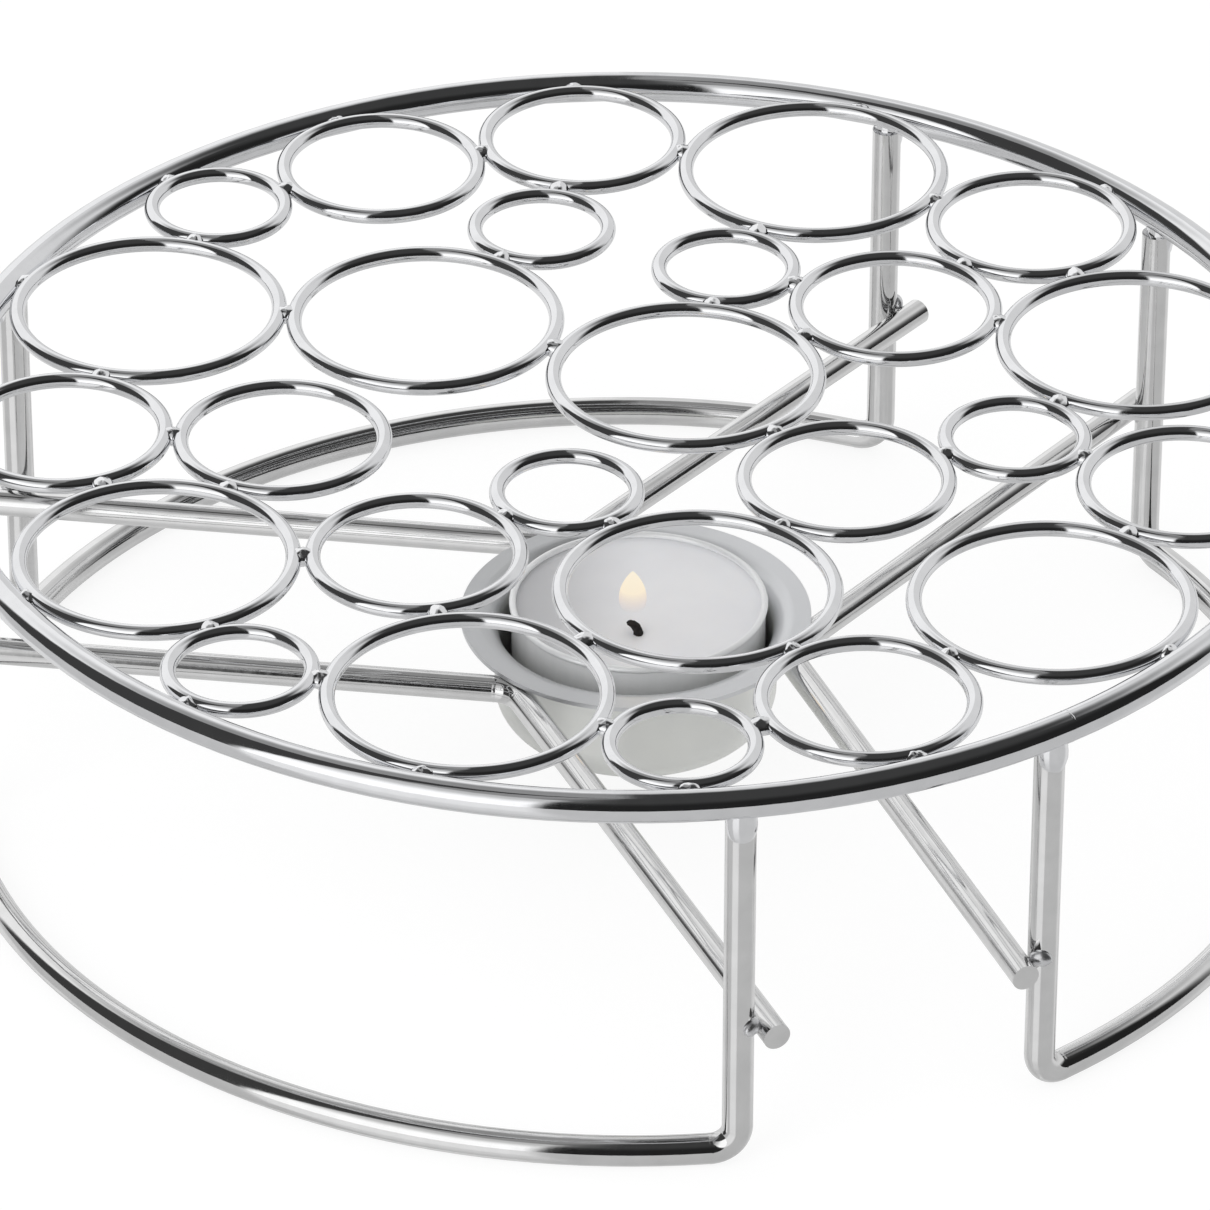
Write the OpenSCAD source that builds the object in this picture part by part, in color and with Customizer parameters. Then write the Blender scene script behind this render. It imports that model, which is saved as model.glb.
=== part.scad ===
// Tea light warmer: a round trivet of welded wire rings on three wire legs,
// with a small dish in the middle that holds a tea light below the rings.
// Millimetres, +Z up, origin on the floor under the middle of the rim.

/* [Rim] */
// Diameter of the rim's wire
rim_wire = 4.6; // [4:0.1:5.4]
// Height of the rim's top above the floor
height = 63.1; // [50:0.1:90]

/* [Rings] */
// Diameter of the rings' wire
ring_wire = 2.3; // [1.8:0.1:2.8]
// Radius of a small ring, to the middle of its wire
ring_s = 10.1; // [9:0.1:11]
// Radius of a medium ring, to the middle of its wire
ring_m = 14.85; // [14:0.05:16]
// Radius of a large ring, to the middle of its wire
ring_l = 19.55; // [18.5:0.05:21]
// How far the rings lie above the middle of the rim's wire
ring_rise = 0.95; // [0:0.05:1]
// Width of the open gap where the outer rings start and end
open_gap = 3.6; // [1:0.1:6]
// Direction of the first outer ring, in degrees
first_ring = -6.8; // [-12:0.1:0]

/* [Legs] */
// Diameter of the legs' wire
leg_wire = 4.4; // [3.6:0.1:5]
// How far the foot arcs' middle line lies inside the rim's
leg_inset = 0.8; // [0:0.1:1.5]
// Distance between the uprights of two neighbouring legs
leg_gap = 50; // [40:0.5:60]
// Radius of the bend between foot and upright, to the middle of the wire
leg_bend = 3.8; // [3:0.1:8]
// Small turn of each leg about the middle, in degrees, as the photograph shows them
leg_turn = [0.7, -1.4, -0.6];

/* [Supports] */
// Diameter of the supports' wire
support_wire = 4; // [3:0.1:4.6]
// Height of the middle of the supports' wire above the floor
support_z = 25.5; // [18:0.5:40]
// Radius of the supports' bend, to the middle of the wire
support_bend = 5; // [3:0.5:9]
// How far a support's arm reaches past its upright
support_over = 1.4; // [0.5:0.1:6]
// How far each support's bend lies off its middle line, clockwise, as the photograph shows them
support_slip = [3, 3.4, 0];
// How far each support's bend lies below the others
support_low = [0.05, 0, 0];
// How far the ends of each support's two arms lie below its bend, counter-clockwise arm first
support_dip = [[3.2, -1.9], [0, 3], [0, 0]];

/* [Dish] */
// Outer radius of the dish's flange
flange_r = 26; // [25:0.1:29]
// Thickness of the dish's sheet
dish_t = 0.7; // [0.5:0.1:1]
// Depth of the dish, from the flange's top to its underside
dish_depth = 18.2; // [14:0.1:21]
// Radius of the shoulder between flange and wall, inside the sheet's bend
shoulder_r = 2.5; // [1.5:0.1:3]
// Radius of the dish's bottom corner, on the outside
dish_corner = 6; // [3:0.1:7]
// How far the dish lies off the middle, along X and along Y
dish_shift = [0.85, -0.8];
// Room round the tea light in the dish
dish_play = 1.1; // [0.6:0.1:1.6]

/* [Tea light] */
// Diameter of the tea light
light_d = 38.4; // [37:0.1:39]
// Height of the tea light
light_h = 19.2; // [14:0.1:21]
// Wall thickness of the tea light's cup
cup_t = 0.3; // [0.2:0.05:0.5]
// Radius of the rolled lip
cup_lip = 0.5; // [0.35:0.05:0.7]
// How far the wax lies below the cup's lip
wax_drop = 1.2; // [1:0.1:5]
// Diameter of the wick
wick_d = 1.5; // [1.2:0.1:2.4]
// Height of the wick's upright stretch above the wax
wick_up = 0.6; // [0.5:0.1:4]
// Radius of the wick's curl
wick_curl = 2.4; // [1.6:0.1:3]
// How far the wick stands inside the light's edge
wick_off = 11.5; // [11.2:0.1:19.2]
// Radius of the wick's clip
clip_r = 4.5; // [3:0.5:5]
// Thickness of the wick's clip
clip_t = 0.4; // [0.2:0.1:0.8]

/* [Clearance] */
// Gap between pieces that touch
touch = 0.05; // [0.02:0.01:0.1]
// How much a wire swells where a bend begins
swell = 0.02; // [0.01:0.01:0.04]

/* [Hidden] */
$fn = 48;

// Sizes of the outer rings, counter-clockwise, and the extra gap after each one
S = ring_s;
M = ring_m;
L = ring_l;
outer = [L, M, L, M, M, S, L, M, L, S, L, S, M, L, M];
outer_gap = [0.6, 0, 0, 0, 0, 0, 0, 0.8, 0, 0.4, 0.4, 0.9, 0.2, 0.6, open_gap];

// Each inner ring lies to the left of the line from one ring to another:
// its size, the first ring, the gap to it, the second ring, the gap to it.
inner = [
    [M, 0, 0, 1, 0.2],      // 15
    [S, 14, 0.2, 0, 0.9],   // 16
    [L, 10, 0.8, 12, 0.1],  // 17
    [M, 8, 0.3, 10, 0.6],   // 18
    [S, 18, 0, 17, 0.2],    // 19
    [M, 7, 0, 8, 0],        // 20
    [M, 17, 0, 16, 0.1],    // 21
    [L, 21, 0.3, 15, 0.4],  // 22
    [S, 22, 0, 15, 0.3],    // 23
    [S, 3, 0.8, 4, 3.6],    // 24
    [L, 24, 0, 6, 0]        // 25
];

// Distance between the middles of two rings that lie side by side
function apart(a, b, gap) = a + b + ring_wire + touch + gap;

// Angle at the middle between two neighbouring outer rings
function step(i, reach) =
    let(j = (i + 1) % len(outer), p = reach - outer[i], q = reach - outer[j],
        s = apart(outer[i], outer[j], outer_gap[i]))
    acos((p * p + q * q - s * s) / (2 * p * q));
function around(reach, i = 0) = i == len(outer) ? 0 : step(i, reach) + around(reach, i + 1);
function sum_to(list, n, i = 0) = i == n ? 0 : list[i] + sum_to(list, n, i + 1);

// Radius that the outer rings reach when they close into a circle
function close_circle(low, high, n = 40) =
    let(mid = (low + high) / 2)
    n == 0 ? mid : around(mid) > 360 ? close_circle(mid, high, n - 1) : close_circle(low, mid, n - 1);
rings_length = 2 * sum_to(outer, len(outer)) + sum_to(outer_gap, len(outer));
reach = close_circle(rings_length / 8, rings_length / 3);
side = (rim_wire + ring_wire) / 2 + touch;
rim_r = reach + sqrt(side * side - ring_rise * ring_rise);

function outer_angle(i) = i == 0 ? first_ring : outer_angle(i - 1) + step(i - 1, reach);
outer_at = [for (i = [0 : len(outer) - 1])
    (reach - outer[i]) * [cos(outer_angle(i)), sin(outer_angle(i))]];

// Middle of a ring that lies beside rings a and b, left of the line from a to b
function beside(a, da, b, db) =
    let(ab = b - a, d = norm(ab), u = ab / d,
        x = (da * da - db * db + d * d) / (2 * d), h = sqrt(da * da - x * x))
    a + x * u + h * [-u[1], u[0]];
function fill(at, size, i = 0) =
    i == len(inner) ? at :
    let(n = inner[i],
        p = beside(at[n[1]], apart(n[0], size[n[1]], n[2]), at[n[3]], apart(n[0], size[n[3]], n[4])))
    fill(concat(at, [p]), size, i + 1);
ring_size = concat(outer, [for (n = inner) n[0]]);
ring_at = fill(outer_at, ring_size);

rim_z = height - rim_wire / 2;
ring_z = rim_z + ring_rise;

// Legs: the foot arc ends where the bend begins
foot_r = rim_r - leg_inset;
upright_r = sqrt(foot_r * foot_r + leg_bend * leg_bend);
bend_angle = atan(leg_bend / foot_r);
half_gap = asin(leg_gap / 2 / upright_r);
upright_angle = 60 - half_gap;
foot_angle = upright_angle - bend_angle;
foot_z = leg_wire / 2;
leg_top = rim_z - rim_wire / 2 - touch;

// Supports: each arm runs beside its upright, on the gap's side
arm_side = (leg_wire + support_wire) / 2 + touch;
apex = (leg_gap / 2 - arm_side) / cos(30);

function unit(v) = v / norm(v);

// Corner of support i, and the way from there to the point beside the upright
// on side s: 1 is counter-clockwise, -1 clockwise
function corner(i) = [apex, -support_slip[i], support_z - support_low[i]];
function arm_way(i, s) =
    let(v = upright_r * [cos(upright_angle), s * sin(upright_angle)] - [apex, -support_slip[i]],
        a = atan2(v[1], v[0]) + s * asin(arm_side / norm(v)),
        run = sqrt(v * v - arm_side * arm_side))
    [run * cos(a), run * sin(a), -support_dip[i][s > 0 ? 0 : 1]];

// Dish and tea light
flange_z = support_z + support_wire / 2 + touch;
dish_in = light_d / 2 + dish_play;
dish_out = dish_in + dish_t;
dish_top = flange_z + dish_t;
dish_bottom = dish_top - dish_depth;
inner_corner = dish_corner - dish_t;
light_z = dish_bottom + dish_t + touch;
light_shift = dish_play - 2 * touch;
light_way = 44;
light_turn = -22.5;
cup_r = light_d / 2 - (cup_lip - cup_t / 2);
cup_corner = inner_corner;
wax_r = cup_r - cup_t - touch;
wax_bottom = cup_t + touch;
wax_top = light_h - wax_drop;
wick_r = wick_d / 2;
wick_at = light_d / 2 - wick_off;

// Closed ring of round wire
module torus(r, wire) {
    rotate_extrude() translate([r, 0]) circle(d = wire);
}

// Part of a ring of round wire, from angle a, sweeping w degrees
module bend(r, wire, a, w) {
    rotate([0, 0, a]) rotate_extrude(angle = w) translate([r, 0]) circle(d = wire);
}

// Slight swelling of a wire where a bend begins
module knuckle(wire) {
    sphere(d = wire + 2 * swell);
}

module rim() {
    color("gainsboro") translate([0, 0, rim_z]) torus(rim_r, rim_wire);
}

module ring(i) {
    translate([ring_at[i][0], ring_at[i][1], ring_z]) torus(ring_size[i], ring_wire);
}
module ring_01() color("gainsboro") ring(0);
module ring_02() color("gainsboro") ring(1);
module ring_03() color("gainsboro") ring(2);
module ring_04() color("gainsboro") ring(3);
module ring_05() color("gainsboro") ring(4);
module ring_06() color("gainsboro") ring(5);
module ring_07() color("gainsboro") ring(6);
module ring_08() color("gainsboro") ring(7);
module ring_09() color("gainsboro") ring(8);
module ring_10() color("gainsboro") ring(9);
module ring_11() color("gainsboro") ring(10);
module ring_12() color("gainsboro") ring(11);
module ring_13() color("gainsboro") ring(12);
module ring_14() color("gainsboro") ring(13);
module ring_15() color("gainsboro") ring(14);
module ring_16() color("gainsboro") ring(15);
module ring_17() color("gainsboro") ring(16);
module ring_18() color("gainsboro") ring(17);
module ring_19() color("gainsboro") ring(18);
module ring_20() color("gainsboro") ring(19);
module ring_21() color("gainsboro") ring(20);
module ring_22() color("gainsboro") ring(21);
module ring_23() color("gainsboro") ring(22);
module ring_24() color("gainsboro") ring(23);
module ring_25() color("gainsboro") ring(24);
module ring_26() color("gainsboro") ring(25);

// One end of a leg: bend and upright, at the end of the foot arc
module leg_end() {
    rotate([0, 0, foot_angle]) translate([foot_r, 0, foot_z]) {
        translate([0, 0, leg_bend]) rotate([0, 90, 0]) bend(leg_bend, leg_wire, 0, 90);
        translate([0, leg_bend, leg_bend])
            cylinder(d = leg_wire, h = leg_top - foot_z - leg_bend);
        knuckle(leg_wire);
        translate([0, leg_bend, leg_bend]) knuckle(leg_wire);
    }
}

// A leg: foot arc with an upright at both ends, its middle towards angle a
module leg(a) {
    rotate([0, 0, a]) {
        translate([0, 0, foot_z]) bend(foot_r, leg_wire, -foot_angle, 2 * foot_angle);
        leg_end();
        mirror([0, 1, 0]) leg_end();
    }
}
module leg_1() color("silver") leg(-150 + leg_turn[0]);
module leg_2() color("silver") leg(-30 + leg_turn[1]);
module leg_3() color("silver") leg(90 + leg_turn[2]);

// An arm: straight wire from the bend's end towards direction u
module arm(u, start, length) {
    translate(start * u) {
        rotate([0, acos(u[2]), atan2(u[1], u[0])])
            cylinder(d = support_wire, h = length - start);
        knuckle(support_wire);
    }
}

// Support i: two arms and the bend between them, in the plane of the arms
module support(i, a) {
    left = arm_way(i, 1);
    right = arm_way(i, -1);
    u = unit(left);
    w = unit(right);
    half = acos(u * w) / 2;
    out = unit(u + w);
    up = unit(cross(w, u));
    along = cross(up, out);
    reach_past = leg_wire / 2 + support_over;
    rotate([0, 0, a]) translate(corner(i)) {
        arm(u, support_bend / tan(half), norm(left) + reach_past);
        arm(w, support_bend / tan(half), norm(right) + reach_past);
        multmatrix([[out[0], along[0], up[0], 0], [out[1], along[1], up[1], 0],
                    [out[2], along[2], up[2], 0], [0, 0, 0, 1]])
            translate([support_bend / sin(half), 0, 0])
                bend(support_bend, support_wire, 90 + half, 180 - 2 * half);
    }
}
module support_1() color("silver") support(0, -150 + leg_turn[0]);
module support_2() color("silver") support(1, -30 + leg_turn[1]);
module support_3() color("silver") support(2, 90 + leg_turn[2]);

// Quarter of a ring in the profile's plane, towards [sx, sy] from its middle
module quarter(r_out, r_in, sx, sy) {
    intersection() {
        difference() {
            circle(r_out);
            circle(r_in);
        }
        translate([sx < 0 ? -r_out : 0, sy < 0 ? -r_out : 0]) square(r_out);
    }
}

// Dish: floor, rounded corner, wall, shoulder and flat flange
module dish() {
    color("lightsteelblue") translate(dish_shift) rotate_extrude() {
        translate([0, dish_bottom]) square([dish_out - dish_corner, dish_t]);
        translate([dish_out - dish_corner, dish_bottom + dish_corner])
            quarter(dish_corner, inner_corner, 1, -1);
        translate([dish_in, dish_bottom + dish_corner])
            square([dish_t, dish_depth - dish_corner - dish_t - shoulder_r]);
        translate([dish_out + shoulder_r, flange_z - shoulder_r])
            quarter(shoulder_r + dish_t, shoulder_r, -1, 1);
        translate([dish_out + shoulder_r, flange_z])
            square([flange_r - dish_out - shoulder_r, dish_t]);
    }
}

// Puts a piece of the tea light in its place in the dish
module in_dish() {
    translate([dish_shift[0] + light_shift * cos(light_way),
               dish_shift[1] + light_shift * sin(light_way), light_z])
        rotate([0, 0, light_turn]) children();
}

// The tea light's cup: floor, rounded corner, thin wall and rolled lip
module cup() {
    color("silver") in_dish() rotate_extrude() {
        square([cup_r - cup_corner, cup_t]);
        translate([cup_r - cup_corner, cup_corner])
            quarter(cup_corner, cup_corner - cup_t, 1, -1);
        translate([cup_r - cup_t, cup_corner])
            square([cup_t, light_h - cup_lip - cup_corner]);
        translate([cup_r - cup_t / 2, light_h - cup_lip]) circle(cup_lip);
    }
}

// Wax, with a hole for the wick and a recess for its clip
module wax() {
    color("whitesmoke") in_dish() difference() {
        rotate_extrude() {
            translate([0, wax_bottom]) square([wax_r - cup_corner, wax_top - wax_bottom]);
            translate([wax_r - cup_corner, wax_bottom + cup_corner])
                square([cup_corner, wax_top - wax_bottom - cup_corner]);
            translate([wax_r - cup_corner, wax_bottom + cup_corner])
                quarter(cup_corner, 0.01, 1, -1);
        }
        translate([0, -wick_at, -1]) cylinder(r = wick_r + touch, h = light_h);
        translate([0, -wick_at, -1])
            cylinder(r = clip_r + touch, h = 1 + wax_bottom + clip_t + touch);
    }
}

module wick_clip() {
    color("gray") in_dish() translate([0, -wick_at, wax_bottom])
        cylinder(r = clip_r, h = clip_t);
}

// Wick: upright through the wax, then curled over to the left of the photograph
module wick() {
    wick_z = wax_bottom + clip_t + touch;
    turn_z = wax_top + wick_up;
    color("dimgray") in_dish() translate([0, -wick_at, 0]) {
        translate([0, 0, wick_z]) cylinder(r = wick_r, h = turn_z - wick_z);
        translate([0, 0, turn_z]) knuckle(wick_d);
        translate([-wick_curl, 0, turn_z]) rotate([90, 0, 0])
            bend(wick_curl, wick_d, 0, 60);
    }
}

rim();
ring_01();
ring_02();
ring_03();
ring_04();
ring_05();
ring_06();
ring_07();
ring_08();
ring_09();
ring_10();
ring_11();
ring_12();
ring_13();
ring_14();
ring_15();
ring_16();
ring_17();
ring_18();
ring_19();
ring_20();
ring_21();
ring_22();
ring_23();
ring_24();
ring_25();
ring_26();
leg_1();
leg_2();
leg_3();
support_1();
support_2();
support_3();
dish();
cup();
wax();
wick_clip();
wick();
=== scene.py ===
# Tea light warmer: the finish of its wires, the welds that join them,
# and the tea light that burns in its dish.
import math

import bpy
from mathutils import Matrix, Vector


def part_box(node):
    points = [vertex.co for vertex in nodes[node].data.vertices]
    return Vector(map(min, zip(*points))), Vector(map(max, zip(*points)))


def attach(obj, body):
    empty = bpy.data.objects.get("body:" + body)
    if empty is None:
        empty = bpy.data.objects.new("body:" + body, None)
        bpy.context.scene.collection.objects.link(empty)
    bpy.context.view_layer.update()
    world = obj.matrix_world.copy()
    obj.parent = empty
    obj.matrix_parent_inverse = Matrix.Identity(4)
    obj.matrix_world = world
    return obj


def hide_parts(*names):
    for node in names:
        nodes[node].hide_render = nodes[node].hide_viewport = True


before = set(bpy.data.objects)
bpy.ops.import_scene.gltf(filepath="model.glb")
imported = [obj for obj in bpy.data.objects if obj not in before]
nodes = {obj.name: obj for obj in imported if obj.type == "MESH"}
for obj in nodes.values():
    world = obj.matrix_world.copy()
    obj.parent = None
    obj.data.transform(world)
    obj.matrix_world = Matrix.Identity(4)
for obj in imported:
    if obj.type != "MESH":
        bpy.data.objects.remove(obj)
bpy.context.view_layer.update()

MM = 0.001
RINGS = ["ring_%02d" % number for number in range(1, 27)]
LEGS = ["leg_1", "leg_2", "leg_3"]
SUPPORTS = ["support_1", "support_2", "support_3"]

# Widest gap that a weld closes between two rings
WELD_REACH = 1.0 * MM
# Direction of the joint in the rim's wire, in degrees
RIM_JOINT = -75.5
# Turn of the photograph's view about the part, and the view's right hand on the level
VIEW_TURN = math.radians(-22.5)
RIGHT = Vector((math.cos(VIEW_TURN), math.sin(VIEW_TURN), 0))


def middle(node):
    """Middle of a node's box."""
    low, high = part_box(node)
    return (Vector(low) + Vector(high)) / 2


def span(node):
    """Size of a node's box."""
    low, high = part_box(node)
    return Vector(high) - Vector(low)


# Wires as the frame holds them
RIM_WIRE = span("rim").z
RIM_RADIUS = span("rim").x / 2 - RIM_WIRE / 2
RING_WIRE = span("ring_01").z
ring_radius = {name: span(name).x / 2 - RING_WIRE / 2 for name in RINGS}
ring_middle = {name: middle(name) for name in RINGS}

# Tea light as the frame holds it
LIGHT = middle("cup")
WAX_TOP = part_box("wax")[1][2]
WAX_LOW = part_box("wax")[0][2]
WAX_RADIUS = span("wax").x / 2
WICK = middle("wick_clip")


def uprights(leg):
    """Middle of the top of each of a leg's two uprights, with the upright's radius."""
    points = [v.co for v in nodes[leg].data.vertices]
    top = max(p.z for p in points)
    end_points = [p for p in points if p.z > top - 0.01 * MM]
    way = sum(end_points, Vector()).normalized()
    side = Vector((-way.y, way.x, 0))
    ends = []
    for sign in (1, -1):
        near = [p for p in end_points if p.dot(side) * sign > 0]
        low = Vector((min(p.x for p in near), min(p.y for p in near), top))
        high = Vector((max(p.x for p in near), max(p.y for p in near), top))
        ends.append(((low + high) / 2, (high.x - low.x) / 2))
    return ends


# Materials

# Range in which most of a noise's values lie
NOISE_LOW, NOISE_HIGH = 0.3, 0.7


def new_material(name):
    """A new material with its nodes, its links and its main shader."""
    material = bpy.data.materials.new(name)
    material.use_nodes = True
    tree = material.node_tree
    return material, tree.nodes, tree.links, tree.nodes["Principled BSDF"]


def add(tree_nodes, kind, **settings):
    """A node of that kind with its settings."""
    node = tree_nodes.new(kind)
    for key, value in settings.items():
        setattr(node, key, value)
    return node


def noise_on_object(tree_nodes, links, scale, detail=3.0, stretch=(1, 1, 1)):
    """Noise on the piece's own coordinates; stretch draws it out along an axis."""
    place = tree_nodes.new("ShaderNodeTexCoord")
    mapping = tree_nodes.new("ShaderNodeMapping")
    mapping.inputs["Scale"].default_value = stretch
    links.new(place.outputs["Object"], mapping.inputs["Vector"])
    noise = tree_nodes.new("ShaderNodeTexNoise")
    noise.inputs["Scale"].default_value = scale
    noise.inputs["Detail"].default_value = detail
    links.new(mapping.outputs["Vector"], noise.inputs["Vector"])
    return noise


def spread(tree_nodes, links, source, low, high):
    """Maps a noise's middle range to values from low to high."""
    node = tree_nodes.new("ShaderNodeMapRange")
    node.inputs["From Min"].default_value = NOISE_LOW
    node.inputs["From Max"].default_value = NOISE_HIGH
    node.inputs["To Min"].default_value = low
    node.inputs["To Max"].default_value = high
    links.new(source, node.inputs["Value"])
    return node.outputs["Result"]


def tint(tree_nodes, links, source, dark, light):
    """Maps a noise's middle range to colours from dark to light."""
    ramp = tree_nodes.new("ShaderNodeValToRGB")
    start, end = ramp.color_ramp.elements
    start.position = NOISE_LOW
    start.color = (*dark, 1)
    end.position = NOISE_HIGH
    end.color = (*light, 1)
    links.new(source, ramp.inputs["Fac"])
    return ramp.outputs["Color"]


def bump(tree_nodes, links, source, shader, strength, depth):
    """Raises the surface by a noise."""
    node = tree_nodes.new("ShaderNodeBump")
    node.inputs["Strength"].default_value = strength
    node.inputs["Distance"].default_value = depth
    links.new(source, node.inputs["Height"])
    links.new(node.outputs["Normal"], shader.inputs["Normal"])


def chrome(name, dark, light, smooth, rough, ripple):
    """Chrome plate: clear reflections with faint clouds, and the drawn wire's slight ripple."""
    material, parts, links, shader = new_material(name)
    clouds = noise_on_object(parts, links, scale=260)
    fine = noise_on_object(parts, links, scale=900, detail=2)
    shader.inputs["Metallic"].default_value = 1
    links.new(tint(parts, links, clouds.outputs["Fac"], dark, light), shader.inputs["Base Color"])
    links.new(spread(parts, links, fine.outputs["Fac"], smooth, rough), shader.inputs["Roughness"])
    bump(parts, links, clouds.outputs["Fac"], shader, ripple, depth=0.05 * MM)
    return material


def ring_chrome():
    return chrome("ring chrome", dark=(0.80, 0.805, 0.82), light=(0.86, 0.865, 0.88),
                  smooth=0.05, rough=0.09, ripple=0.12)


def rim_chrome():
    return chrome("rim chrome", dark=(0.79, 0.795, 0.81), light=(0.85, 0.855, 0.87),
                  smooth=0.05, rough=0.08, ripple=0.08)


def leg_chrome():
    return chrome("leg chrome", dark=(0.76, 0.76, 0.76), light=(0.82, 0.82, 0.82),
                  smooth=0.06, rough=0.10, ripple=0.10)


def weld_chrome():
    """The plated welds: the same chrome over an uneven surface."""
    return chrome("weld chrome", dark=(0.82, 0.825, 0.84), light=(0.93, 0.935, 0.95),
                  smooth=0.06, rough=0.14, ripple=0.6)


def weld_satin():
    """The welds low on the legs: duller and less even than the rest of the plate."""
    return chrome("satin weld", dark=(0.74, 0.745, 0.76), light=(0.86, 0.865, 0.88),
                  smooth=0.3, rough=0.45, ripple=0.4)


def painted_shade_across(tree_nodes, links, colour, centre, reach, dark, light):
    """Painted shade: a colour darkened towards the piece's left and lighter to its right, as the view's
    camera sees them.
    """
    place = tree_nodes.new("ShaderNodeTexCoord")
    across = add(tree_nodes, "ShaderNodeVectorMath", operation="DOT_PRODUCT")
    across.inputs[1].default_value = RIGHT
    links.new(place.outputs["Object"], across.inputs[0])
    share = add(tree_nodes, "ShaderNodeMapRange", interpolation_type="SMOOTHSTEP")
    share.inputs["From Min"].default_value = centre.dot(RIGHT) + reach[0]
    share.inputs["From Max"].default_value = centre.dot(RIGHT) + reach[1]
    share.inputs["To Min"].default_value = dark
    share.inputs["To Max"].default_value = light
    links.new(across.outputs["Value"], share.inputs["Value"])
    shaded = add(tree_nodes, "ShaderNodeVectorMath", operation="SCALE")
    links.new(colour, shaded.inputs[0])
    links.new(share.outputs["Result"], shaded.inputs["Scale"])
    return shaded.outputs["Vector"]


def spun_steel():
    """Satin steel of the dish, faintly turned round its axis, with painted reflection lighter and warmer on
    the wall than on the flange, and painted shade darker to the left.
    """
    material, parts, links, shader = new_material("spun steel")
    place = parts.new("ShaderNodeTexCoord")
    centre = parts.new("ShaderNodeMapping")
    centre.inputs["Location"].default_value = [-c for c in middle("dish")]
    links.new(place.outputs["Object"], centre.inputs["Vector"])
    split = parts.new("ShaderNodeSeparateXYZ")
    links.new(centre.outputs["Vector"], split.inputs["Vector"])
    flat = parts.new("ShaderNodeCombineXYZ")
    links.new(split.outputs["X"], flat.inputs["X"])
    links.new(split.outputs["Y"], flat.inputs["Y"])
    radius = add(parts, "ShaderNodeVectorMath", operation="LENGTH")
    links.new(flat.outputs["Vector"], radius.inputs[0])
    profile = parts.new("ShaderNodeCombineXYZ")
    links.new(radius.outputs["Value"], profile.inputs["X"])
    links.new(split.outputs["Z"], profile.inputs["Z"])
    marks = parts.new("ShaderNodeTexNoise")
    marks.inputs["Scale"].default_value = 2600
    marks.inputs["Detail"].default_value = 2
    links.new(profile.outputs["Vector"], marks.inputs["Vector"])
    clouds = noise_on_object(parts, links, scale=120)
    shader.inputs["Metallic"].default_value = 0.75
    # The painted reflection turns from the wall's lighter, warmer grey to the flange's darker, cooler grey
    # between these two depths below the dish's top
    wall_depth, flange_depth = 3.5 * MM, 0.5 * MM
    rise = parts.new("ShaderNodeMapRange")
    rise.inputs["From Min"].default_value = span("dish").z / 2 - wall_depth
    rise.inputs["From Max"].default_value = span("dish").z / 2 - flange_depth
    links.new(split.outputs["Z"], rise.inputs["Value"])
    # Random mottle laid over the painted reflection's change from wall to flange
    mottle_and_painted_reflection = add(parts, "ShaderNodeMath", operation="MULTIPLY_ADD")
    mottle_and_painted_reflection.inputs[1].default_value = 0.2
    links.new(clouds.outputs["Fac"], mottle_and_painted_reflection.inputs[0])
    links.new(spread(parts, links, rise.outputs["Result"], low=0.3, high=0.6), mottle_and_painted_reflection.inputs[2])
    # Painted reflection: the wall lighter and warmer, the flange darker and cooler
    wall, flange = (0.95, 0.96, 0.915), (0.80, 0.81, 0.825)
    colour = tint(parts, links, mottle_and_painted_reflection.outputs["Value"], wall, flange)
    # Painted shade: the dish darker towards its left, lighter to its right
    left_to_right = (-20 * MM, 24 * MM)
    colour = painted_shade_across(parts, links, colour, middle("dish"), left_to_right, dark=0.78, light=1.04)
    links.new(colour, shader.inputs["Base Color"])
    links.new(spread(parts, links, marks.outputs["Fac"], low=0.3, high=0.38), shader.inputs["Roughness"])
    bump(parts, links, marks.outputs["Fac"], shader, strength=0.02, depth=0.01 * MM)
    return material


def foil():
    """Thin pressed aluminium of the tea light's cup, with faint upright draw lines."""
    material, parts, links, shader = new_material("pressed aluminium")
    lines = noise_on_object(parts, links, scale=500, detail=2, stretch=(1, 1, 0.05))
    shader.inputs["Metallic"].default_value = 0.35
    colour = tint(parts, links, lines.outputs["Fac"], dark=(0.90, 0.91, 0.915), light=(0.96, 0.965, 0.97))
    links.new(colour, shader.inputs["Base Color"])
    links.new(spread(parts, links, lines.outputs["Fac"], low=0.28, high=0.4), shader.inputs["Roughness"])
    bump(parts, links, lines.outputs["Fac"], shader, strength=0.08, depth=0.03 * MM)
    return material


def paraffin():
    """White wax, faintly cloudy and soft inside, with painted shade that greys it to the left of the wick."""
    material, parts, links, shader = new_material("paraffin wax")
    clouds = noise_on_object(parts, links, scale=90)
    colour = tint(parts, links, clouds.outputs["Fac"], dark=(0.87, 0.87, 0.89), light=(0.92, 0.92, 0.935))
    # Painted shade: the wax greyer towards its left, lighter to its right
    colour = painted_shade_across(parts, links, colour, LIGHT, reach=(-17 * MM, 2 * MM), dark=0.62, light=1)
    links.new(colour, shader.inputs["Base Color"])
    links.new(spread(parts, links, clouds.outputs["Fac"], low=0.3, high=0.42), shader.inputs["Roughness"])
    shader.inputs["Subsurface Weight"].default_value = 0.25
    shader.inputs["Subsurface Radius"].default_value = (1.0, 0.9, 0.8)
    shader.inputs["Subsurface Scale"].default_value = 3 * MM
    bump(parts, links, clouds.outputs["Fac"], shader, strength=0.2, depth=0.1 * MM)
    return material


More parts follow.
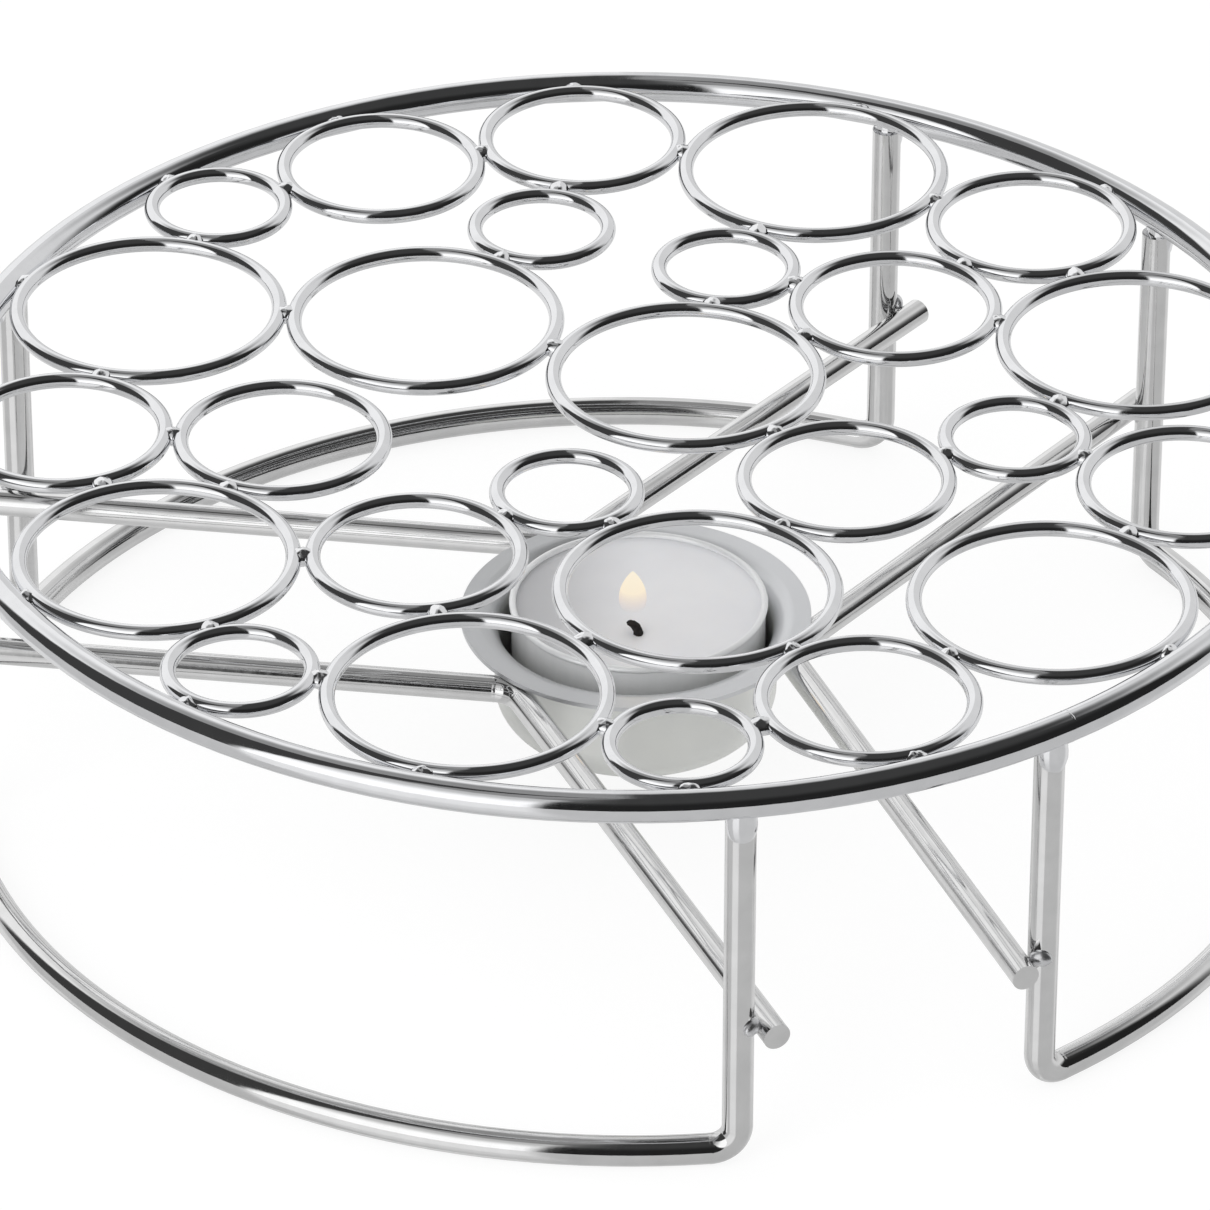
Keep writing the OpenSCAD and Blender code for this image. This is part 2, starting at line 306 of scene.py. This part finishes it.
def charred_cotton():
    """Burnt wick: black, with browner threads."""
    material, parts, links, shader = new_material("charred cotton")
    threads = noise_on_object(parts, links, scale=2200, detail=4)
    colour = tint(parts, links, threads.outputs["Fac"], dark=(0.003, 0.003, 0.003), light=(0.02, 0.013, 0.01))
    links.new(colour, shader.inputs["Base Color"])
    links.new(spread(parts, links, threads.outputs["Fac"], low=0.6, high=0.9), shader.inputs["Roughness"])
    bump(parts, links, threads.outputs["Fac"], shader, strength=0.8, depth=0.15 * MM)
    return material


def flame_light(low, high):
    """Glow of the flame from height low to high: see-through at its foot, pale yellow above."""
    material, parts, links, shader = new_material("candle flame")
    parts.remove(shader)
    place = parts.new("ShaderNodeTexCoord")
    split = parts.new("ShaderNodeSeparateXYZ")
    links.new(place.outputs["Object"], split.inputs["Vector"])
    rise = parts.new("ShaderNodeMapRange")
    rise.inputs["From Min"].default_value = low
    rise.inputs["From Max"].default_value = high
    links.new(split.outputs["Z"], rise.inputs["Value"])
    colours = parts.new("ShaderNodeValToRGB")
    foot, body = colours.color_ramp.elements
    foot.position = 0.36
    foot.color = (0.86, 0.70, 0.62, 1)
    body.position = 0.66
    body.color = (0.98, 0.86, 0.66, 1)
    tip = colours.color_ramp.elements.new(0.95)
    tip.color = (0.96, 0.87, 0.70, 1)
    links.new(rise.outputs["Result"], colours.inputs["Fac"])
    cover = parts.new("ShaderNodeValToRGB")
    clear_end, thick_end = cover.color_ramp.elements
    clear_end.position = 0.28
    clear_end.color = (0, 0, 0, 1)
    thick_end.position = 0.66
    thick_end.color = (0.88, 0.88, 0.88, 1)
    links.new(rise.outputs["Result"], cover.inputs["Fac"])
    glow = parts.new("ShaderNodeEmission")
    links.new(colours.outputs["Color"], glow.inputs["Color"])
    clear = parts.new("ShaderNodeBsdfTransparent")
    mix = parts.new("ShaderNodeMixShader")
    links.new(cover.outputs["Color"], mix.inputs["Fac"])
    links.new(clear.outputs["BSDF"], mix.inputs[1])
    links.new(glow.outputs["Emission"], mix.inputs[2])
    links.new(mix.outputs["Shader"], parts["Material Output"].inputs["Surface"])
    return material


# Modelling

def deselect():
    bpy.ops.object.select_all(action="DESELECT")


def finish_piece(piece, name, material):
    """Names a piece, puts its place into its mesh, smooths it and gives it its one material."""
    deselect()
    piece.select_set(True)
    bpy.context.view_layer.objects.active = piece
    bpy.ops.object.transform_apply(location=True, rotation=True, scale=True)
    bpy.ops.object.shade_smooth_by_angle(angle=math.radians(50))
    piece.name = name
    piece.data.name = name
    piece.data.materials.clear()
    piece.data.materials.append(material)
    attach(piece, "root")


def apply_modifier(piece, kind, name, **settings):
    """Adds a modifier with its settings and applies it."""
    bpy.context.view_layer.objects.active = piece
    modifier = piece.modifiers.new(name, kind)
    for key, value in settings.items():
        setattr(modifier, key, value)
    bpy.ops.object.modifier_apply(modifier=modifier.name)


def bead():
    """One weld bead of unit size. Its place gives it its shape, and roughen its lumps."""
    deselect()
    bpy.ops.mesh.primitive_uv_sphere_add(segments=20, ring_count=12, radius=1)
    return bpy.context.object


def place_copies(pattern, places):
    """Copies of a pattern, each with its own mesh, one at each place, joined into one object."""
    deselect()
    copies = []
    for place in places:
        twin = pattern.copy()
        twin.data = pattern.data.copy()
        bpy.context.collection.objects.link(twin)
        twin.matrix_world = place
        copies.append(twin)
    bpy.data.objects.remove(pattern)
    bpy.context.view_layer.update()
    for twin in copies:
        twin.select_set(True)
    bpy.context.view_layer.objects.active = copies[0]
    bpy.ops.object.join()
    bpy.ops.object.transform_apply(location=True, rotation=True, scale=True)
    return copies[0]


def roughen(piece, grain, depth):
    """Makes a piece's surface uneven by a cloud pattern fixed in space."""
    clouds = bpy.data.textures.new("lumps", "CLOUDS")
    clouds.noise_scale = grain
    apply_modifier(piece, "DISPLACE", "lumps", texture=clouds, strength=depth, texture_coords="GLOBAL")


def pose(place, along, size):
    """Matrix that puts a unit shape at a place, its X along a level direction, with half sizes."""
    along = Vector((along.x, along.y, 0)).normalized()
    turn = Matrix.Rotation(math.atan2(along.y, along.x), 4, "Z")
    return Matrix.Translation(place) @ turn @ Matrix.Diagonal((*size, 1))


def ring_weld_places():
    """One bead in each place where two rings all but touch."""
    half = RING_WIRE / 2
    along, across, up = 1.75 * half, 1.4 * half, 1.15 * half
    places = []
    for index, one in enumerate(RINGS):
        for other in RINGS[index + 1:]:
            line = ring_middle[other] - ring_middle[one]
            gap = line.length - ring_radius[one] - ring_radius[other] - RING_WIRE
            if gap < WELD_REACH:
                point = ring_middle[one] + line.normalized() * (ring_radius[one] + half + gap / 2)
                places.append(pose(point, line, (gap / 2 + along, across, up)))
    return places


def rim_weld_places():
    """One bead in each place where a ring all but touches the rim."""
    half = RING_WIRE / 2
    bead_size = (1.2 * half, 1.5 * half, 0.95 * half)
    past_ring_line = 0.75 * half
    places = []
    for name in RINGS:
        out = Vector((ring_middle[name].x, ring_middle[name].y, 0))
        gap = RIM_RADIUS - RIM_WIRE / 2 - out.length - ring_radius[name] - RING_WIRE / 2
        if gap < WELD_REACH:
            reach = out.length + ring_radius[name] + past_ring_line
            point = out.normalized() * reach + Vector((0, 0, ring_middle[name].z))
            places.append(pose(point, out, bead_size))
    return places


def make_ring_welds(material):
    """All beads between two rings, and between a ring and the rim."""
    welds = place_copies(bead(), ring_weld_places() + rim_weld_places())
    roughen(welds, grain=0.9 * MM, depth=0.5 * MM)
    finish_piece(welds, "ring_welds", material)


def make_leg_welds(material):
    """A lump on the outer side of each upright's top, from the rim's underside down the wire."""
    outwards, drop, half_height = 0.3, 1 * MM, 4 * MM
    places = []
    for leg in LEGS:
        for top, radius in uprights(leg):
            out = Vector((top.x, top.y, 0)).normalized()
            point = top + out * outwards * radius - Vector((0, 0, drop))
            places.append(pose(point, out, (0.92 * radius, 1.04 * radius, half_height)))
    welds = place_copies(bead(), places)
    roughen(welds, grain=1.4 * MM, depth=0.2 * MM)
    finish_piece(welds, "leg_welds", material)


def make_support_welds(material):
    """A bead on top of each support's arms, in the valley beside the upright."""
    above_arm = 0.65
    places = []
    for support, leg in zip(SUPPORTS, LEGS):
        points = [v.co for v in nodes[support].data.vertices]
        for top, radius in uprights(leg):
            near = [p for p in points if (p - top).xy.length < 3 * radius]
            arm = sum(near, Vector()) / len(near)
            nearest = min(near, key=lambda p: (p - top).xy.length)
            off = Vector((nearest.x - top.x, nearest.y - top.y, 0)).normalized()
            point = Vector((top.x, top.y, arm.z + above_arm * radius)) + off * radius
            places.append(pose(point, off, (0.45 * radius, 0.75 * radius, 0.55 * radius)))
    welds = place_copies(bead(), places)
    roughen(welds, grain=1.0 * MM, depth=0.25 * MM)
    finish_piece(welds, "support_welds", material)


def make_rim_joint(material):
    """The swollen butt weld where the two ends of the rim's wire meet."""
    way = Vector((math.cos(math.radians(RIM_JOINT)), math.sin(math.radians(RIM_JOINT)), 0))
    half = RIM_WIRE / 2
    point = way * RIM_RADIUS + Vector((0, 0, middle("rim").z))
    half_width, swell = 0.8 * MM, 1.03
    joint = place_copies(bead(), [pose(point, way, (half, half_width, swell * half))])
    roughen(joint, grain=1.0 * MM, depth=0.2 * MM)
    finish_piece(joint, "rim_joint", material)


def turned(profile, centre, steps):
    """An object turned round the upright line through centre, from points of radius and height."""
    deselect()
    bpy.ops.mesh.primitive_plane_add(size=1 * MM, location=centre)
    piece = bpy.context.object
    bpy.ops.object.mode_set(mode="EDIT")
    bpy.ops.mesh.select_all(action="SELECT")
    bpy.ops.mesh.merge(type="CENTER")
    bpy.ops.transform.translate(value=(profile[0][0], 0, profile[0][1]))
    for before, after in zip(profile, profile[1:]):
        step = (after[0] - before[0], 0, after[1] - before[1])
        bpy.ops.mesh.extrude_vertices_move(TRANSFORM_OT_translate={"value": step})
    bpy.ops.mesh.select_all(action="SELECT")
    bpy.ops.mesh.spin(steps=steps, angle=2 * math.pi, center=centre, axis=(0, 0, 1))
    bpy.ops.mesh.select_all(action="SELECT")
    bpy.ops.mesh.remove_doubles(threshold=0.001 * MM)
    bpy.ops.mesh.normals_make_consistent(inside=False)
    bpy.ops.object.mode_set(mode="OBJECT")
    return piece


def make_wax(material):
    """The wax: level in the middle, drawn up a little at the cup's wall."""
    r, top, low = WAX_RADIUS, WAX_TOP, WAX_LOW
    profile = [
        (0, low), (r - 4 * MM, low), (r - 1.3 * MM, low + 1 * MM), (r, low + 4 * MM), (r, top + 0.35 * MM),
        (r - 0.1 * MM, top + 0.36 * MM), (r - 0.4 * MM, top + 0.14 * MM), (r - 1.0 * MM, top + 0.03 * MM),
        (r - 2.0 * MM, top), (r * 0.6, top - 0.02 * MM), (r * 0.3, top - 0.04 * MM), (0, top - 0.05 * MM)]
    wax = turned(profile, (LIGHT.x, LIGHT.y, 0), steps=96)
    finish_piece(wax, "tea_light_wax", material)
    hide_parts("wax")


def make_wick(material):
    """The wick: a twisted cord, upright in the wax, bent over and thickened where it has burnt."""
    deselect()
    radius = 0.72 * MM
    bpy.ops.mesh.primitive_circle_add(vertices=16, radius=radius, fill_type="NGON",
                                      location=(WICK.x, WICK.y, WAX_TOP - 1 * MM))
    wick = bpy.context.object
    bpy.ops.object.mode_set(mode="EDIT")
    bpy.ops.mesh.select_all(action="SELECT")
    steps, burnt_from = 8, 4
    lean_step, rise_step = 0.5 * MM, 0.42 * MM
    for step in range(steps):
        lean = step / steps
        move = -RIGHT * lean_step * lean ** 2 + Vector((0, 0, rise_step * (1 - 0.35 * lean)))
        bpy.ops.mesh.extrude_region_move(TRANSFORM_OT_translate={"value": move})
        grow = 1.03 if step >= burnt_from else 1.0
        bpy.ops.transform.resize(value=(grow, grow, 1))
    bpy.ops.mesh.inset(thickness=0.2 * MM, depth=0.2 * MM)
    bpy.ops.mesh.select_all(action="SELECT")
    bpy.ops.mesh.normals_make_consistent(inside=False)
    bpy.ops.object.mode_set(mode="OBJECT")
    apply_modifier(wick, "SUBSURF", "round", levels=2, render_levels=2)
    roughen(wick, grain=0.5 * MM, depth=0.3 * MM)
    finish_piece(wick, "wick_cord", material)
    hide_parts("wick")


def make_flame():
    """The flame: a short drop that stands on the wick's burnt end."""
    half_width, height = 2.05 * MM, 8.6 * MM
    above_wax, left_of_wick = 2.3 * MM, 0.9 * MM
    foot = Vector((WICK.x, WICK.y, WAX_TOP + above_wax)) - RIGHT * left_of_wick
    profile = [(0, foot.z)]
    steps = 18
    for step in range(1, steps):
        rise = step / steps
        # Fullest a little below the middle
        fullness = math.sin(math.pi * rise ** 0.9) ** 0.8
        profile.append((half_width * fullness, foot.z + height * rise))
    profile.append((0, foot.z + height))
    flame = turned(profile, (foot.x, foot.y, 0), steps=32)
    finish_piece(flame, "flame", flame_light(foot.z, foot.z + height))
    flame.visible_shadow = False


# Finishes of the pieces that the frame holds

def paint(names, material):
    """Gives the frame's nodes of those names one material."""
    for name in names:
        nodes[name].data.materials.clear()
        nodes[name].data.materials.append(material)


paint(["rim"], rim_chrome())
paint(RINGS, ring_chrome())
paint(LEGS + SUPPORTS, leg_chrome())
paint(["dish"], spun_steel())
paint(["cup", "wick_clip"], foil())

welds = weld_chrome()
make_ring_welds(welds)
make_leg_welds(welds)
make_support_welds(weld_satin())
make_rim_joint(welds)
make_wax(paraffin())
make_wick(charred_cotton())
make_flame()


# Studio

def make_camera():
    """The photograph's view: a long lens that looks down on the warmer."""
    look_down = math.radians(32.515)
    roll = math.radians(0.104)
    data = bpy.data.cameras.new("camera")
    data.sensor_width = 36
    data.lens = 261
    data.clip_end = 20
    camera = bpy.data.objects.new("camera", data)
    bpy.context.collection.objects.link(camera)
    camera.location = (-0.4225, -1.0109, 0.7276)
    turn = Matrix.Rotation(VIEW_TURN, 4, "Z")
    tilt = Matrix.Rotation(math.pi / 2 - look_down, 4, "X")
    camera.rotation_euler = (turn @ tilt @ Matrix.Rotation(roll, 4, "Z")).to_euler()
    bpy.context.scene.camera = camera


def make_floor():
    """A plain floor: almost white to the camera, with a faint shadow, and pale grey in reflections."""
    white_share, mirrored_share, sheen_share = 0.8, 0.7, 0.3
    deselect()
    bpy.ops.mesh.primitive_plane_add(size=6)
    floor = bpy.context.object
    floor.name = "floor"
    material, parts, links, shader = new_material("floor")
    parts.remove(shader)
    paper = parts.new("ShaderNodeBsdfDiffuse")
    paper.inputs["Color"].default_value = (0.95, 0.95, 0.95, 1)
    seen = parts.new("ShaderNodeEmission")
    seen.inputs["Strength"].default_value = 1.06
    mirrored = parts.new("ShaderNodeEmission")
    mirrored.inputs["Color"].default_value = (0.77, 0.77, 0.77, 1)
    gloss = parts.new("ShaderNodeBsdfGlossy")
    gloss.inputs["Color"].default_value = (0.9, 0.9, 0.9, 1)
    gloss.inputs["Roughness"].default_value = 0.12
    path = parts.new("ShaderNodeLightPath")

    def laid_over(below, above, rays, most):
        """A mix of two shaders: the one above shows to one kind of ray, and there only by a share."""
        share = add(parts, "ShaderNodeMath", operation="MULTIPLY")
        share.inputs[1].default_value = most
        links.new(path.outputs[rays], share.inputs[0])
        mix = parts.new("ShaderNodeMixShader")
        links.new(share.outputs["Value"], mix.inputs["Fac"])
        links.new(below, mix.inputs[1])
        links.new(above, mix.inputs[2])
        return mix.outputs["Shader"]

    surface = laid_over(paper.outputs["BSDF"], seen.outputs["Emission"], "Is Camera Ray", white_share)
    surface = laid_over(surface, mirrored.outputs["Emission"], "Is Glossy Ray", mirrored_share)
    surface = laid_over(surface, gloss.outputs["BSDF"], "Is Glossy Ray", sheen_share)
    links.new(surface, parts["Material Output"].inputs["Surface"])
    floor.data.materials.append(material)


def make_studio():
    """World: white to the camera, even to diffuse rays, and a studio of panels to the chrome."""
    world = bpy.data.worlds.new("studio")
    bpy.context.scene.world = world
    world.use_nodes = True
    parts, links = world.node_tree.nodes, world.node_tree.links
    parts.clear()
    place = parts.new("ShaderNodeTexCoord")
    turn = parts.new("ShaderNodeMapping")
    turn.inputs["Rotation"].default_value = (0, 0, -VIEW_TURN)
    links.new(place.outputs["Generated"], turn.inputs["Vector"])
    split = parts.new("ShaderNodeSeparateXYZ")
    links.new(turn.outputs["Vector"], split.inputs["Vector"])

    def calc(operation, a, b=None):
        """One sum on numbers or sockets."""
        node = add(parts, "ShaderNodeMath", operation=operation)
        for socket, value in zip(node.inputs, (a, b)):
            if isinstance(value, (int, float)):
                socket.default_value = value
            elif value is not None:
                links.new(value, socket)
        return node.outputs["Value"]

    def ramp(value, start, end, low=0.0, high=1.0):
        """A smooth step from low at start to high at end."""
        node = add(parts, "ShaderNodeMapRange", interpolation_type="SMOOTHSTEP")
        for key, number in zip(("From Min", "From Max", "To Min", "To Max"), (start, end, low, high)):
            node.inputs[key].default_value = number
        links.new(value, node.inputs["Value"])
        return node.outputs["Result"]

    def between(value, low, high, soft):
        """One from low to high and nothing elsewhere, with soft edges."""
        start = ramp(value, low - soft, low + soft)
        return calc("MULTIPLY", start, ramp(value, high - soft, high + soft, 1, 0))

    def over(below, level, share):
        """Level laid over what is below, as far as share says."""
        rest = calc("MULTIPLY", below, calc("SUBTRACT", 1, share))
        return calc("ADD", rest, calc("MULTIPLY", level, share))

    # Directions in degrees: across from the camera's side, positive to its right, and up
    degrees = 180 / math.pi
    towards_camera = calc("MULTIPLY", split.outputs["Y"], -1)
    across = calc("MULTIPLY", calc("ARCTAN2", split.outputs["X"], towards_camera), degrees)
    up = calc("MULTIPLY", calc("ARCSINE", split.outputs["Z"]), degrees)

    # Room: dark to the right of the camera, lighter behind the object
    wall_dark, ceiling_dark, ceiling_left, side_wall = 0.018, 0.05, 0.3, 0.05
    back_wall_left, back_wall_right = 0.98, 0.74
    level = ramp(up, 30, 60, wall_dark, ceiling_dark)
    left_top = calc("MULTIPLY", ramp(across, 0, -30), ramp(up, 40, 60))
    level = over(level, ceiling_left, left_top)
    level = over(level, side_wall, between(across, -115, -62, 3))
    back_left = calc("MULTIPLY", ramp(across, -112, -118), ramp(up, 60, 40))
    level = over(level, back_wall_left, back_left)
    back_right = calc("MULTIPLY", ramp(across, 95, 115), ramp(up, 60, 40))
    level = over(level, back_wall_right, back_right)
    # Softbox to the left of the camera, brightest at its foot
    box_foot, box_top = 1.25, 0.62
    box = calc("MULTIPLY", between(across, -60, -14, 2), ramp(up, 66, 58))
    level = over(level, ramp(up, 25, 55, box_foot, box_top), box)

    backdrop, even_light = 1.0, 0.8
    path = parts.new("ShaderNodeLightPath")
    level = over(level, backdrop, path.outputs["Is Camera Ray"])
    level = over(level, even_light, path.outputs["Is Diffuse Ray"])
    background = parts.new("ShaderNodeBackground")
    links.new(level, background.inputs["Color"])
    output = parts.new("ShaderNodeOutputWorld")
    links.new(background.outputs["Background"], output.inputs["Surface"])


def make_lamp():
    """A broad soft lamp where the softbox stands."""
    data = bpy.data.lights.new("softbox", "AREA")
    data.shape = "RECTANGLE"
    data.size = data.size_y = 0.9
    data.energy = 6
    lamp = bpy.data.objects.new("softbox", data)
    bpy.context.collection.objects.link(lamp)
    lamp.location = (-1.1, -0.65, 0.9)
    aim = Vector((0, 0, 0.04))
    lamp.rotation_euler = (aim - lamp.location).to_track_quat("-Z", "Y").to_euler()
    lamp.visible_glossy = False
    lamp.visible_camera = False


make_camera()
make_floor()
make_studio()
make_lamp()
bpy.context.scene.view_settings.view_transform = "Standard"
